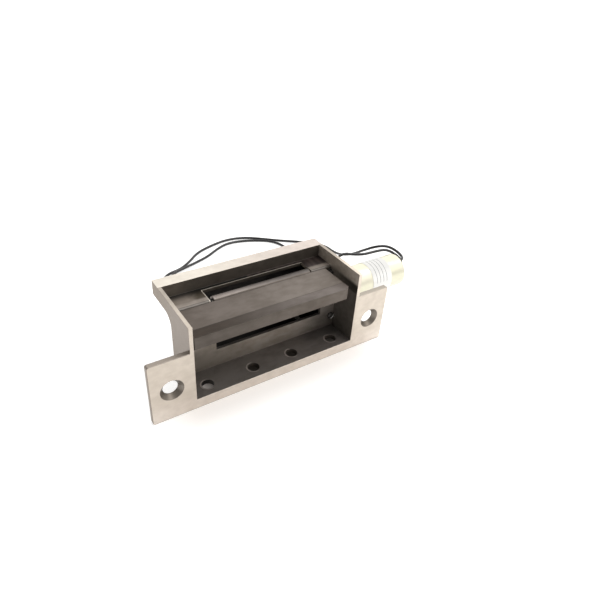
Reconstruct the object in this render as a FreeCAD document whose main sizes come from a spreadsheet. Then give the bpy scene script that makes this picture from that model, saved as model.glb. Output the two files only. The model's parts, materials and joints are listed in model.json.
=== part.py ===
import FreeCAD, Part
import Sketcher
import math
import os

doc = FreeCAD.newDocument("ElectricDoorStrike")
sheet = doc.addObject("Spreadsheet::Sheet", "Sizes")
used_rows = []
exported = []


# Named values that carry both their number and their sheet expression
class Value:
    def __init__(self, number, text):
        self.number = float(number)
        self.text = text

    def __add__(self, other):
        other = as_value(other)
        return Value(self.number + other.number, "(" + self.text + " + " + other.text + ")")

    def __radd__(self, other):
        return as_value(other) + self

    def __sub__(self, other):
        other = as_value(other)
        return Value(self.number - other.number, "(" + self.text + " - " + other.text + ")")

    def __rsub__(self, other):
        return as_value(other) - self

    def __mul__(self, other):
        other = as_value(other)
        return Value(self.number * other.number, "(" + self.text + " * " + other.text + ")")

    def __rmul__(self, other):
        return as_value(other) * self

    def __truediv__(self, other):
        other = as_value(other)
        return Value(self.number / other.number, "(" + self.text + " / " + other.text + ")")

    def __neg__(self):
        return Value(-self.number, "(0 - " + self.text + ")")


def as_value(item):
    if isinstance(item, Value):
        return item
    if item < 0:
        return Value(item, "(0 - " + repr(abs(float(item))) + ")")
    return Value(item, repr(float(item)))


def size(name, number):
    used_rows.append(name)
    row = str(len(used_rows))
    sheet.set("A" + row, name)
    sheet.set("B" + row, repr(float(number)))
    sheet.setAlias("B" + row, name)
    return Value(number, "Sizes." + name)


# Faceplate
plate_length = size("plate_length", 123.825)
plate_height = size("plate_height", 31.75)
plate_thickness = size("plate_thickness", 2.5)
plate_corner = size("plate_corner", 1.0)
plate_edge = size("plate_edge", 0.35)
strip_height = size("strip_height", 5.4)
hole_spacing = size("hole_spacing", 104.775)
hole_radius = size("hole_radius", 3.35)
sink_radius = size("sink_radius", 5.3)
sink_depth = size("sink_depth", 2.24)
cut_margin = size("cut_margin", 1.0)

# Housing behind the faceplate
opening_half = size("opening_half", 41.9)
wall_thickness = size("wall_thickness", 1.7)
wall_depth = size("wall_depth", 19.8)
wall_top = size("wall_top", 28.575)
rim_front = size("rim_front", 33.0)
rim_back = size("rim_back", 40.4)
rim_bottom = size("rim_bottom", 21.425)
rim_round = size("rim_round", 0.6)
floor_thickness = size("floor_thickness", 2.4)
back_wall_front = size("back_wall_front", 16.0)
back_wall_thickness = size("back_wall_thickness", 1.6)
back_wall_top = size("back_wall_top", 16.4)
drain_radius = size("drain_radius", 2.85)
drain_outer = size("drain_outer", 33.85)
drain_inner = size("drain_inner", 10.55)
drain_depth = size("drain_depth", 6.5)
slot_left = size("slot_left", -24.6)
slot_right_gap = size("slot_right_gap", 8.6)
slot_bottom = size("slot_bottom", -1.2)
slot_height = size("slot_height", 5.2)
ledge_top = size("ledge_top", 22.325)
ledge_thickness = size("ledge_thickness", 1.6)
ledge_front = size("ledge_front", 21.5)
ledge_round = size("ledge_round", 1.3)
window_left = size("window_left", -24.0)
window_gap = size("window_gap", 0.4)
window_back = size("window_back", 31.0)

# Keeper and its hinge
hinge_depth = size("hinge_depth", 24.0)
hinge_height = size("hinge_height", 19.275)
pin_radius = size("pin_radius", 1.25)
pin_clearance = size("pin_clearance", 0.05)
pin_seat = size("pin_seat", 0.01)
lug_radius = size("lug_radius", 3.2)
lug_half_stem = size("lug_half_stem", 2.4)
lug_width = size("lug_width", 3.0)
lug_gap = size("lug_gap", 0.6)
keeper_left_gap = size("keeper_left_gap", 0.4)
keeper_right_gap = size("keeper_right_gap", 4.1)
keeper_front = size("keeper_front", 0.3)
keeper_bottom = size("keeper_bottom", 16.525)
keeper_nose_top = size("keeper_nose_top", 22.525)
keeper_top = size("keeper_top", 22.125)
keeper_ridge = size("keeper_ridge", 6.4)
keeper_back = size("keeper_back", 21.3)
keeper_edge = size("keeper_edge", 0.4)
keeper_corner = size("keeper_corner", 1.8)
relief_radius = size("relief_radius", 3.93)
barrel_radius = size("barrel_radius", 3.0)
barrel_left = size("barrel_left", -21.9)
barrel_past_tail = size("barrel_past_tail", 0.7)
web_front = size("web_front", 19.0)
web_bottom = size("web_bottom", 16.9)
web_top = size("web_top", 20.6)
tail_width = size("tail_width", 6.0)
tail_foot = size("tail_foot", 12.9)
tail_foot_lead = size("tail_foot_lead", 1.8)
tail_foot_length = size("tail_foot_length", 5.0)
tail_thickness = size("tail_thickness", 2.5)

# Keeper return spring
coil_wire = size("coil_wire", 0.35)
coil_radius = size("coil_radius", 1.75)
coil_pitch = size("coil_pitch", 0.74)
coil_turns = size("coil_turns", 1.5)
coil_start = size("coil_start", -23.55)
spring_leg = size("spring_leg", 3.4)

# Mechanism bracket
sheet_metal = size("sheet_metal", 1.6)
bracket_left = size("bracket_left", -26.0)
bracket_gap = size("bracket_gap", 0.1)
bracket_room = size("bracket_room", 6.1)
bracket_top = size("bracket_top", 20.4)
bracket_front_top = size("bracket_front_top", -2.5)

# Lock lever
lever_pivot_inset = size("lever_pivot_inset", 15.8)
lever_pivot_height = size("lever_pivot_height", -7.0)
lever_thickness = size("lever_thickness", 3.0)
lever_hub = size("lever_hub", 3.5)
lever_width = size("lever_width", 5.2)
lever_reach = size("lever_reach", 19.6)
lever_slot_half = size("lever_slot_half", 1.15)
lever_swing = size("lever_swing", 23.2)

# Plunger and its pin
plunger_travel = size("plunger_travel", 3.0)
plunger_radius = size("plunger_radius", 3.0)
plunger_clearance = size("plunger_clearance", 0.08)
head_radius = size("head_radius", 4.0)
head_reach_left = size("head_reach_left", 6.5)
head_reach_right = size("head_reach_right", 3.9)
fork_depth = size("fork_depth", 8.9)
fork_clearance = size("fork_clearance", 0.1)
core_clearance = size("core_clearance", 1.0)
link_radius = size("link_radius", 1.0)
spring_wire = size("spring_wire", 0.3)
spring_radius = size("spring_radius", 3.6)
spring_turns = size("spring_turns", 4.0)

# Solenoid
can_wall_gap = size("can_wall_gap", 1.85)
can_radius = size("can_radius", 9.15)
can_wall = size("can_wall", 1.0)
cap_thickness = size("cap_thickness", 2.6)
can_length = size("can_length", 52.3)
can_edge = size("can_edge", 0.8)
nose_radius = size("nose_radius", 4.2)
nose_reach = size("nose_reach", 5.8)
cap_register = size("cap_register", 3.2)
nut_across = size("nut_across", 11.0)
nut_thickness = size("nut_thickness", 3.4)
bobbin_bore = size("bobbin_bore", 3.3)
bobbin_tube = size("bobbin_tube", 1.0)
bobbin_flange = size("bobbin_flange", 1.2)
bobbin_end_gap = size("bobbin_end_gap", 0.8)
coil_gap = size("coil_gap", 0.4)
core_radius = size("core_radius", 3.25)
core_length = size("core_length", 22.0)
end_cap_thickness = size("end_cap_thickness", 3.7)
end_cap_recess = size("end_cap_recess", 1.0)
grommet_radius = size("grommet_radius", 3.4)
grommet_lip_height = size("grommet_lip_height", 1.7)
grommet_height = size("grommet_height", 3.4)
lead_rise_upper = size("lead_rise_upper", 4.7)
lead_rise_lower = size("lead_rise_lower", 2.1)
label_width = size("label_width", 13.4)
label_end_gap = size("label_end_gap", 10.0)
label_thickness = size("label_thickness", 0.1)
label_seam = size("label_seam", 2.0)

# Screws
screw_corner_gap = size("screw_corner_gap", 2.0)
screw_height = size("screw_height", -4.0)
screw_head = size("screw_head", 1.9)
screw_head_height = size("screw_head_height", 1.3)
screw_dome = size("screw_dome", 1.0)
screw_shank = size("screw_shank", 0.9)
side_screw_left = size("side_screw_left", -20.0)
side_screw_right = size("side_screw_right", 12.0)
side_screw_height = size("side_screw_height", -8.0)
side_screw_head = size("side_screw_head", 2.4)
side_screw_head_height = size("side_screw_head_height", 1.4)

# Wire leads
lead_radius = size("lead_radius", 0.8)
lead_core = size("lead_core", 0.45)
lead_bare = size("lead_bare", 6.0)
table_lift = size("table_lift", 0.1)
lead_lift = size("lead_lift", 1.1)

plate_bottom = -(plate_height / 2)
plate_half = plate_length / 2
floor_top = plate_bottom + strip_height
floor_bottom = floor_top - floor_thickness
wall_outer = opening_half + wall_thickness
back_wall_back = back_wall_front + back_wall_thickness
ledge_bottom = ledge_top - ledge_thickness
solenoid_depth = wall_depth + can_wall_gap + can_radius
lever_middle = solenoid_depth
bracket_back = solenoid_depth + bracket_room + sheet_metal
tail_foot_front = lever_middle - tail_foot_lead
tail_foot_back = tail_foot_front + tail_foot_length
slot_right = opening_half - slot_right_gap
keeper_left = keeper_left_gap - opening_half
keeper_right = opening_half - keeper_right_gap
bracket_right = opening_half - bracket_gap
lever_pivot_across = bracket_right - lever_pivot_inset
tail_left = lever_pivot_across - tail_width / 2
barrel_right = tail_left + tail_width + barrel_past_tail
window_right = barrel_right + window_gap
head_left = lever_pivot_across - head_reach_left
head_right = lever_pivot_across + head_reach_right
nose_left = bracket_right - nose_reach
can_left = bracket_right + cap_thickness
can_right = can_left + can_length
end_cap_right = can_right - end_cap_recess
end_cap_left = end_cap_right - end_cap_thickness
bobbin_left = can_left + cap_register
bobbin_right = end_cap_left - bobbin_end_gap
core_left = end_cap_left - core_length
plunger_end = core_left - plunger_travel - core_clearance
grommet_right = end_cap_right + grommet_lip_height
label_right = can_right - label_end_gap
label_left = label_right - label_width
screw_across = opening_half - screw_corner_gap


def block(name, x0, x1, y0, y1, z0, z1):
    item = doc.addObject("Part::Box", name)
    low = [as_value(v) for v in (x0, y0, z0)]
    high = [as_value(v) for v in (x1, y1, z1)]
    sides = ("Length", "Width", "Height")
    spots = ("Placement.Base.x", "Placement.Base.y", "Placement.Base.z")
    for index in range(3):
        item.setExpression(sides[index], (high[index] - low[index]).text)
        item.setExpression(spots[index], low[index].text)
    return item


def turn_to(item, axis):
    if axis == "x":
        item.Placement.Rotation = FreeCAD.Rotation(FreeCAD.Vector(0, 1, 0), 90)
    if axis == "y":
        item.Placement.Rotation = FreeCAD.Rotation(FreeCAD.Vector(1, 0, 0), -90)


def place_round(item, axis, start, first, second):
    if axis == "x":
        spots = (start, first, second)
    elif axis == "y":
        spots = (first, start, second)
    else:
        spots = (first, second, start)
    item.setExpression("Placement.Base.x", as_value(spots[0]).text)
    item.setExpression("Placement.Base.y", as_value(spots[1]).text)
    item.setExpression("Placement.Base.z", as_value(spots[2]).text)


def rod(name, axis, radius, start, end, first, second):
    item = doc.addObject("Part::Cylinder", name)
    turn_to(item, axis)
    item.setExpression("Radius", as_value(radius).text)
    item.setExpression("Height", (as_value(end) - start).text)
    place_round(item, axis, start, first, second)
    return item


def cone(name, axis, radius_1, radius_2, start, end, first, second):
    item = doc.addObject("Part::Cone", name)
    turn_to(item, axis)
    item.setExpression("Radius1", as_value(radius_1).text)
    item.setExpression("Radius2", as_value(radius_2).text)
    item.setExpression("Height", (as_value(end) - start).text)
    place_round(item, axis, start, first, second)
    return item


def joined(name, items):
    item = doc.addObject("Part::MultiFuse", name)
    item.Shapes = items
    item.Refine = True
    return item


def cut(name, base, tools):
    item = doc.addObject("Part::Cut", name)
    item.Base = base
    if len(tools) == 1:
        item.Tool = tools[0]
    else:
        group = doc.addObject("Part::Compound", name + "_tools")
        group.Links = tools
        item.Tool = group
    item.Refine = True
    return item


def rounded(name, base, radius, test):
    doc.recompute()
    item = doc.addObject("Part::Fillet", name)
    item.Base = base
    chosen = []
    for index, edge in enumerate(base.Shape.Edges):
        box = edge.BoundBox
        if test(edge, box):
            chosen.append((index + 1, radius.number, radius.number))
    item.Edges = chosen
    return item


def along(box, axis):
    spans = {"x": box.XLength, "y": box.YLength, "z": box.ZLength}
    return all(spans[key] < 0.001 for key in spans if key != axis)


def prism(name, plane, corners, start, depth):
    body = doc.addObject("PartDesign::Body", name)
    outline = body.newObject("Sketcher::SketchObject", name + "_outline")
    support = [item for item in body.Origin.OriginFeatures if item.Role == plane][0]
    outline.AttachmentSupport = [(support, "")]
    outline.MapMode = "FlatFace"
    count = len(corners)
    spots = [FreeCAD.Vector(as_value(u).number, as_value(v).number, 0) for u, v in corners]
    for index in range(count):
        outline.addGeometry(Part.LineSegment(spots[index], spots[(index + 1) % count]), False)
    for index in range(count):
        joint = Sketcher.Constraint("Coincident", index, 2, (index + 1) % count, 1)
        outline.addConstraint(joint)
    for index, (u, v) in enumerate(corners):
        across = Sketcher.Constraint("DistanceX", -1, 1, index, 1, spots[index].x)
        first = outline.addConstraint(across)
        outline.setExpression("Constraints[" + str(first) + "]", as_value(u).text)
        upward = Sketcher.Constraint("DistanceY", -1, 1, index, 1, spots[index].y)
        second = outline.addConstraint(upward)
        outline.setExpression("Constraints[" + str(second) + "]", as_value(v).text)
    outline.setExpression("AttachmentOffset.Base.z", as_value(start).text)
    pad = body.newObject("PartDesign::Pad", name + "_pad")
    pad.Profile = outline
    pad.setExpression("Length", as_value(depth).text)
    body.Tip = pad
    return body


def keep(item, node):
    item.Label = node
    exported.append((item, node))


# Frame: faceplate with ears
plate_block = block("plate_block", -plate_half, plate_half, 0, plate_thickness, plate_bottom, -plate_bottom)
plate_round = rounded("plate_round", plate_block, plate_corner, lambda edge, box: along(box, "y"))
plate_soft = rounded("plate_soft", plate_round, plate_edge, lambda edge, box: box.YMax < 0.001)
opening_block = block("opening_block", -opening_half, opening_half, -cut_margin,
                      plate_thickness + cut_margin, floor_top, -plate_bottom + cut_margin)
hole_items = []
for side, sign in (("left", -1), ("right", 1)):
    spot = hole_spacing / 2 * sign
    hole_items.append(rod("hole_" + side, "y", hole_radius, -cut_margin, plate_thickness + cut_margin, spot, 0))
    hole_items.append(cone("sink_" + side, "y", sink_radius, hole_radius, 0, sink_depth, spot, 0))
plate_cut = cut("plate_cut", plate_soft, [opening_block] + hole_items)

# Frame: floor, walls, rim and ledges
floor_block = block("floor_block", -wall_outer, wall_outer, plate_edge, back_wall_back, floor_bottom, floor_top)
drains = []
for index, spot in enumerate((-drain_outer, -drain_inner, drain_inner, drain_outer)):
    drains.append(rod("drain_" + str(index), "z", drain_radius, floor_bottom - cut_margin,
                      floor_top + cut_margin, spot, drain_depth))
wall_items = []
for side, inner, outer in (("left", -wall_outer, -opening_half), ("right", opening_half, wall_outer)):
    corners = [(0, floor_bottom), (wall_depth, floor_bottom), (wall_depth, rim_bottom),
               (rim_back, rim_bottom), (rim_back, wall_top), (0, wall_top)]
    wall_items.append(prism("wall_" + side, "YZ_Plane", corners, inner, outer - inner))
rim_block = block("rim_block", -wall_outer, wall_outer, rim_front, rim_back, rim_bottom, wall_top)
ledge_block = block("ledge_block", -opening_half, opening_half, ledge_front, rim_front, ledge_bottom, ledge_top)
window_block = block("window_block", window_left, window_right, ledge_front - cut_margin, window_back,
                     ledge_bottom - cut_margin, ledge_top + cut_margin)
ledge_soft = rounded("ledge_soft", ledge_block, ledge_round,
                     lambda edge, box: along(box, "x") and box.YMax < ledge_front.number + 0.01
                     and box.ZMin > ledge_top.number - 0.01)
ledges = cut("ledges", ledge_soft, [window_block])
back_block = block("back_block", -opening_half, opening_half, back_wall_front, back_wall_back,
                   floor_bottom, back_wall_top)
slot_block = block("slot_block", slot_left, slot_right, back_wall_front - cut_margin,
                   back_wall_back + cut_margin, slot_bottom, slot_bottom + slot_height)
stop_hole = rod("stop_hole", "y", screw_shank, back_wall_front - cut_margin,
                back_wall_back + cut_margin, screw_across, screw_height)
back_tools = [slot_block, stop_hole]
for side, spot in (("left", side_screw_left), ("right", side_screw_right)):
    back_tools.append(rod("side_hole_" + side, "y", screw_shank, back_wall_front + back_wall_thickness / 4,
                          back_wall_back + cut_margin, spot, side_screw_height))
back_cut = cut("back_cut", back_block, back_tools)

# Frame: lugs that carry the hinge pin
lug_items = []
lug_left_inner = window_left - lug_gap
lug_right_inner = window_right + lug_gap
for side, x0, x1 in (("left", lug_left_inner - lug_width, lug_left_inner),
                     ("right", lug_right_inner, lug_right_inner + lug_width)):
    lug_items.append(rod("lug_" + side, "x", lug_radius, x0, x1, hinge_depth, hinge_height))
    lug_items.append(block("stem_" + side, x0, x1, hinge_depth - lug_half_stem, hinge_depth + lug_half_stem,
                           hinge_height, ledge_bottom))
trim_block = block("trim_block", -opening_half, opening_half, ledge_front, rim_front,
                   ledge_bottom, ledge_top + cut_margin * 5)
lug_join = joined("lug_join", lug_items)
lug_trim = cut("lug_trim", lug_join, [trim_block])
frame_join = joined("frame_join", [plate_cut, floor_block, rim_block, ledges, back_cut, lug_trim] + wall_items)
pin_bore = rod("pin_bore", "x", pin_radius + pin_seat, lug_left_inner - lug_width - cut_margin,
               lug_right_inner + lug_width + cut_margin, hinge_depth, hinge_height)
frame_cut = cut("frame_cut", frame_join, drains + [pin_bore])
frame = rounded("frame_solid", frame_cut, rim_round,
                lambda edge, box: (along(box, "x") or along(box, "z"))
                and box.YMin > rim_back.number - 0.01 and box.ZMax > rim_bottom.number + 0.01)
keep(frame, "frame")

# Keeper
keeper_corners = [(keeper_front, keeper_bottom), (keeper_back, keeper_bottom), (keeper_back, keeper_top),
                  (keeper_ridge, keeper_top), (keeper_front, keeper_nose_top)]
keeper_bar = prism("keeper_bar", "YZ_Plane", keeper_corners, keeper_left, keeper_right - keeper_left)
keeper_soft = rounded("keeper_soft", keeper_bar, keeper_edge,
                      lambda edge, box: (along(box, "x") and box.YMax < keeper_front.number + 0.01)
                      or (along(box, "z") and box.YMax < keeper_front.number + 0.01))
relief = rod("relief", "x", relief_radius, keeper_left - cut_margin, keeper_right + cut_margin,
             hinge_depth, hinge_height)
bevel_end = keeper_right + cut_margin
bevel_corners = [(keeper_right - keeper_corner - cut_margin, keeper_front - cut_margin),
                 (bevel_end, keeper_front + keeper_corner + cut_margin), (bevel_end, keeper_front - cut_margin)]
bevel = prism("bevel", "XY_Plane", bevel_corners, keeper_bottom - cut_margin,
              keeper_nose_top - keeper_bottom + cut_margin * 2)
keeper_body = cut("keeper_body", keeper_soft, [relief, bevel])
barrel = rod("barrel", "x", barrel_radius, barrel_left, barrel_right, hinge_depth, hinge_height)
web = block("web", barrel_left, barrel_right, web_front, hinge_depth, web_bottom, web_top)
tail_corners = [(hinge_depth, hinge_height - barrel_radius + 0.3), (tail_foot_front, tail_foot),
                (tail_foot_back, tail_foot), (tail_foot_back, tail_foot + tail_thickness),
                (hinge_depth + barrel_radius - 0.7, hinge_height + 0.7)]
tail = prism("tail", "YZ_Plane", tail_corners, tail_left, tail_width)
keeper_join = joined("keeper_join", [keeper_body, barrel, web, tail])
keeper_bore = rod("keeper_bore", "x", pin_radius + pin_clearance, barrel_left - cut_margin,
                  barrel_right + cut_margin, hinge_depth, hinge_height)
keeper = cut("keeper_solid", keeper_join, [keeper_bore])
keep(keeper, "keeper")

# Hinge pin
hinge_pin = rod("hinge_pin_solid", "x", pin_radius, lug_left_inner - lug_width, lug_right_inner + lug_width,
                hinge_depth, hinge_height)
keep(hinge_pin, "hinge_pin")

# Mechanism bracket
bracket_front = back_wall_back
bracket_base = joined("bracket_base", [
    block("bracket_front_leg", bracket_left, bracket_right, bracket_front, bracket_front + sheet_metal,
          plate_bottom, bracket_front_top),
    block("bracket_web", bracket_left, bracket_right, bracket_front, bracket_back,
          plate_bottom, plate_bottom + sheet_metal),
    block("bracket_back_leg", bracket_left, bracket_right, bracket_back - sheet_metal, bracket_back,
          plate_bottom, bracket_top),
    block("bracket_flange", bracket_right - sheet_metal, bracket_right, bracket_front + sheet_metal,
          bracket_back, plate_bottom, bracket_top)])
bracket_tools = [
    rod("nose_hole", "x", nose_radius + plunger_clearance, bracket_right - sheet_metal - cut_margin,
        bracket_right + cut_margin, solenoid_depth, 0),
    rod("lever_pin_hole", "y", pin_radius + pin_seat, bracket_front - cut_margin,
        bracket_back + cut_margin, lever_pivot_across, lever_pivot_height),
    rod("bracket_stop_hole", "y", screw_shank, bracket_front - cut_margin, bracket_front + sheet_metal
        + cut_margin, screw_across, screw_height)]
for side, spot in (("left", side_screw_left), ("right", side_screw_right)):
    bracket_tools.append(rod("bracket_hole_" + side, "y", screw_shank + pin_clearance,
                             bracket_front - cut_margin, bracket_front + sheet_metal + cut_margin,
                             spot, side_screw_height))
bracket = cut("bracket_solid", bracket_base, bracket_tools)
keep(bracket, "mechanism_bracket")

# Lock lever, drawn upright and then leaned to its rest position
lever_front = lever_middle - lever_thickness / 2
lever_back = lever_middle + lever_thickness / 2
lever_hub_item = rod("lever_hub_item", "y", lever_hub, lever_front, lever_back, 0, 0)
lever_arm = block("lever_arm", -(lever_width / 2), lever_width / 2, lever_front, lever_back, 0, lever_reach)
lever_round = rod("lever_tip_round", "y", lever_reach, lever_front - cut_margin, lever_back + cut_margin, 0, 0)
lever_blank = joined("lever_blank", [lever_hub_item, lever_arm])
lever_tipped = doc.addObject("Part::Common", "lever_tipped")
lever_tipped.Base = lever_blank
lever_tipped.Tool = lever_round
slot_low = -lever_pivot_height - 0.15
slot_high = -lever_pivot_height + 0.8
lever_tools = [
    rod("lever_bore", "y", pin_radius + pin_clearance, lever_front - cut_margin, lever_back + cut_margin, 0, 0),
    rod("lever_slot_low", "y", lever_slot_half, lever_front - cut_margin, lever_back + cut_margin, 0, slot_low),
    rod("lever_slot_high", "y", lever_slot_half, lever_front - cut_margin, lever_back + cut_margin, 0, slot_high),
    block("lever_slot_middle", -lever_slot_half, lever_slot_half, lever_front - cut_margin,
          lever_back + cut_margin, slot_low, slot_high)]
lever_group = joined("lever_tool_group", lever_tools)
lever = cut("lever_solid", lever_tipped, [lever_group])
lever.Placement.Rotation = FreeCAD.Rotation(FreeCAD.Vector(0, 1, 0), -lever_swing.number)
lever.setExpression("Placement.Base.x", lever_pivot_across.text)
lever.setExpression("Placement.Base.z", lever_pivot_height.text)
keep(lever, "lock_lever")
lever_pin = joined("lever_pin_solid", [
    rod("lever_pin_rod", "y", pin_radius, bracket_front, bracket_back, lever_pivot_across, lever_pivot_height),
    rod("lever_pin_head", "y", pin_radius * 1.8, bracket_back, bracket_back + 1.0,
        lever_pivot_across, lever_pivot_height)])
keep(lever_pin, "lever_pin")
collar_items = []
for side, y0, y1 in (("front", lever_front - 1.3, lever_front - 0.3), ("back", lever_back + 0.3, lever_back + 1.3)):
    ring = cut("lever_clip_" + side, rod("clip_disc_" + side, "y", pin_radius * 2, y0, y1,
                                         lever_pivot_across, lever_pivot_height),
               [rod("clip_bore_" + side, "y", pin_radius, y0 - cut_margin, y1 + cut_margin,
                    lever_pivot_across, lever_pivot_height)])
    keep(ring, "lever_clip_" + side)

# Plunger with its fork
plunger_join = joined("plunger_join", [
    rod("plunger_head", "x", head_radius, head_left, head_right, solenoid_depth, 0),
    rod("plunger_shaft", "x", plunger_radius, head_left, plunger_end, solenoid_depth, 0)])
link_across = lever_pivot_across - plunger_travel
plunger = cut("plunger_solid", plunger_join, [
    joined("fork_group", [
        block("fork_slot", head_left - cut_margin, head_left + fork_depth, lever_front - fork_clearance,
              lever_back + fork_clearance, -(head_radius * 2), head_radius * 2),
        rod("link_hole", "y", link_radius, solenoid_depth - head_radius * 2, solenoid_depth + head_radius * 2,
            link_across, 0)])])
keep(plunger, "plunger")
link_pin = rod("link_pin_solid", "y", link_radius, solenoid_depth - head_radius + 0.15,
               solenoid_depth + head_radius - 0.15, link_across, 0)
keep(link_pin, "plunger_pin")

# Solenoid
front_cap_join = joined("front_cap_join", [
    rod("nose_rod", "x", nose_radius, nose_left, can_left, solenoid_depth, 0),
    rod("cap_disc", "x", can_radius, bracket_right, can_left, solenoid_depth, 0),
    rod("cap_register_rod", "x", can_radius - can_wall, can_left, can_left + cap_register, solenoid_depth, 0)])
front_cap = cut("front_cap_solid", front_cap_join, [
    rod("cap_bore", "x", plunger_radius + plunger_clearance, nose_left - cut_margin,
        can_left + cap_register + cut_margin, solenoid_depth, 0)])
keep(front_cap, "solenoid_front_cap")
nut_blank = doc.addObject("Part::Prism", "nut_blank")
nut_blank.Polygon = 6
nut_blank.Placement.Rotation = FreeCAD.Rotation(FreeCAD.Vector(0, 1, 0), 90)
nut_blank.Placement = FreeCAD.Placement(FreeCAD.Vector(0, 0, 0), nut_blank.Placement.Rotation)
nut_blank.setExpression("Circumradius", (nut_across / math.sqrt(3)).text)
nut_blank.setExpression("Height", nut_thickness.text)
place_round(nut_blank, "x", bracket_right - sheet_metal - nut_thickness, solenoid_depth, 0)
nut = cut("nut_solid", nut_blank, [
    rod("nut_bore", "x", nose_radius, nose_left - cut_margin, bracket_right, solenoid_depth, 0)])
keep(nut, "solenoid_nut")
can_tube = rod("can_tube", "x", can_radius, can_left, can_right, solenoid_depth, 0)
can_soft = rounded("can_soft", can_tube, can_edge,
                   lambda edge, box: box.XMin > can_right.number - 0.01)
can = cut("can_solid", can_soft, [
    rod("can_bore", "x", can_radius - can_wall, can_left - cut_margin, can_right + cut_margin,
        solenoid_depth, 0)])
keep(can, "solenoid_can")
bobbin_outer = can_radius - can_wall - coil_gap
bobbin_join = joined("bobbin_join", [
    rod("bobbin_barrel", "x", bobbin_bore + bobbin_tube, bobbin_left, bobbin_right, solenoid_depth, 0),
    rod("bobbin_front", "x", bobbin_outer, bobbin_left, bobbin_left + bobbin_flange, solenoid_depth, 0),
    rod("bobbin_rear", "x", bobbin_outer, bobbin_right - bobbin_flange, bobbin_right, solenoid_depth, 0)])
bobbin = cut("bobbin_solid", bobbin_join, [
    rod("bobbin_hole", "x", bobbin_bore, bobbin_left - cut_margin, bobbin_right + cut_margin,
        solenoid_depth, 0)])
keep(bobbin, "bobbin")
coil = cut("coil_solid", rod("coil_outer", "x", bobbin_outer - coil_gap, bobbin_left + bobbin_flange,
                             bobbin_right - bobbin_flange, solenoid_depth, 0),
           [rod("coil_inner", "x", bobbin_bore + bobbin_tube, bobbin_left, bobbin_right, solenoid_depth, 0)])
keep(coil, "coil")
core = rod("core_solid", "x", core_radius, core_left, end_cap_left, solenoid_depth, 0)
keep(core, "fixed_core")
end_cap = cut("end_cap_solid", rod("end_cap_disc", "x", can_radius - can_wall, end_cap_left, end_cap_right,
                                   solenoid_depth, 0),
              [rod("grommet_hole", "x", grommet_radius - 0.6, end_cap_left + 1.0, end_cap_right + cut_margin,
                   solenoid_depth, grommet_height)])
keep(end_cap, "solenoid_end_cap")
grommet = joined("grommet_solid", [
    rod("grommet_body", "x", grommet_radius - 0.6, end_cap_left + 1.0, end_cap_right, solenoid_depth,
        grommet_height),
    rod("grommet_lip", "x", grommet_radius, end_cap_right, grommet_right, solenoid_depth, grommet_height)])
keep(grommet, "lead_grommet")
label_ring = cut("label_ring", rod("label_outer", "x", can_radius + label_thickness, label_left, label_right,
                                   solenoid_depth, 0),
                 [rod("label_inner", "x", can_radius, label_left - cut_margin, label_right + cut_margin,
                      solenoid_depth, 0)])
label = cut("label_solid", label_ring, [
    block("label_seam_block", label_left - cut_margin, label_right + cut_margin, solenoid_depth,
          solenoid_depth + label_seam, -(can_radius * 2), 0)])
keep(label, "label")

# Screws
stop_head = rod("stop_head", "y", screw_head, back_wall_front - screw_head_height, back_wall_front,
                screw_across, screw_height)
stop_dome = rounded("stop_dome", stop_head, screw_dome,
                    lambda edge, box: box.YMax < (back_wall_front - screw_head_height).number + 0.01
                    and box.XLength > 1)
stop_screw = joined("stop_screw_solid", [
    stop_dome,
    rod("stop_shank", "y", screw_shank, back_wall_front, back_wall_back + sheet_metal,
        screw_across, screw_height)])
keep(stop_screw, "stop_screw")
for side, spot in (("left", side_screw_left), ("right", side_screw_right)):
    head = rod("side_head_" + side, "y", side_screw_head, back_wall_back + sheet_metal,
               back_wall_back + sheet_metal + side_screw_head_height, spot, side_screw_height)
    shank = rod("side_shank_" + side, "y", screw_shank, back_wall_front + back_wall_thickness / 4,
                back_wall_back + sheet_metal, spot, side_screw_height)
    socket = doc.addObject("Part::Prism", "side_socket_" + side)
    socket.Polygon = 6
    socket.Placement = FreeCAD.Placement(FreeCAD.Vector(0, 0, 0), FreeCAD.Rotation(FreeCAD.Vector(1, 0, 0), -90))
    socket.setExpression("Circumradius", (screw_shank * 1.2).text)
    socket.setExpression("Height", side_screw_head_height.text)
    place_round(socket, "y", back_wall_back + sheet_metal + side_screw_head_height / 2, spot, side_screw_height)
    screw = cut("side_screw_" + side, joined("side_screw_join_" + side, [head, shank]), [socket])
    keep(screw, "bracket_screw_" + side)


# Springs and leads are swept along paths computed from the sheet
def read(name):
    return float(sheet.get(name))


def feature(name, shape, node):
    item = doc.addObject("Part::Feature", name)
    item.Shape = shape
    keep(item, node)
    return item


def swept(path, radius, start, direction):
    ring = Part.Wire(Part.makeCircle(radius, start, direction))
    return path.makePipeShell([ring], True, True)


def coil_spring(radius, wire, length, turns):
    path = Part.makeHelix(length / turns, length, radius)
    first = path.Edges[0]
    start = first.valueAt(first.FirstParameter)
    heading = first.tangentAt(first.FirstParameter)
    return swept(Part.Wire(path.Edges), wire, start, heading)


doc.recompute()

spring_length = nose_left.number - head_right.number
plain_length = spring_length - 2 * read("spring_wire")
plunger_coil = coil_spring(read("spring_radius"), read("spring_wire"), plain_length, read("spring_turns"))
plunger_coil.rotate(FreeCAD.Vector(0, 0, 0), FreeCAD.Vector(0, 1, 0), 90)
plunger_coil.translate(FreeCAD.Vector(head_right.number + read("spring_wire"), solenoid_depth.number, 0))
feature("plunger_spring_solid", plunger_coil, "plunger_spring")

keeper_coil = coil_spring(read("coil_radius"), read("coil_wire"), read("coil_pitch") * read("coil_turns"),
                          read("coil_turns"))
keeper_coil.rotate(FreeCAD.Vector(0, 0, 0), FreeCAD.Vector(0, 1, 0), 90)
keeper_coil.translate(FreeCAD.Vector(read("coil_start"), hinge_depth.number, hinge_height.number))
feature("keeper_spring_solid", keeper_coil, "keeper_spring")


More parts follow.
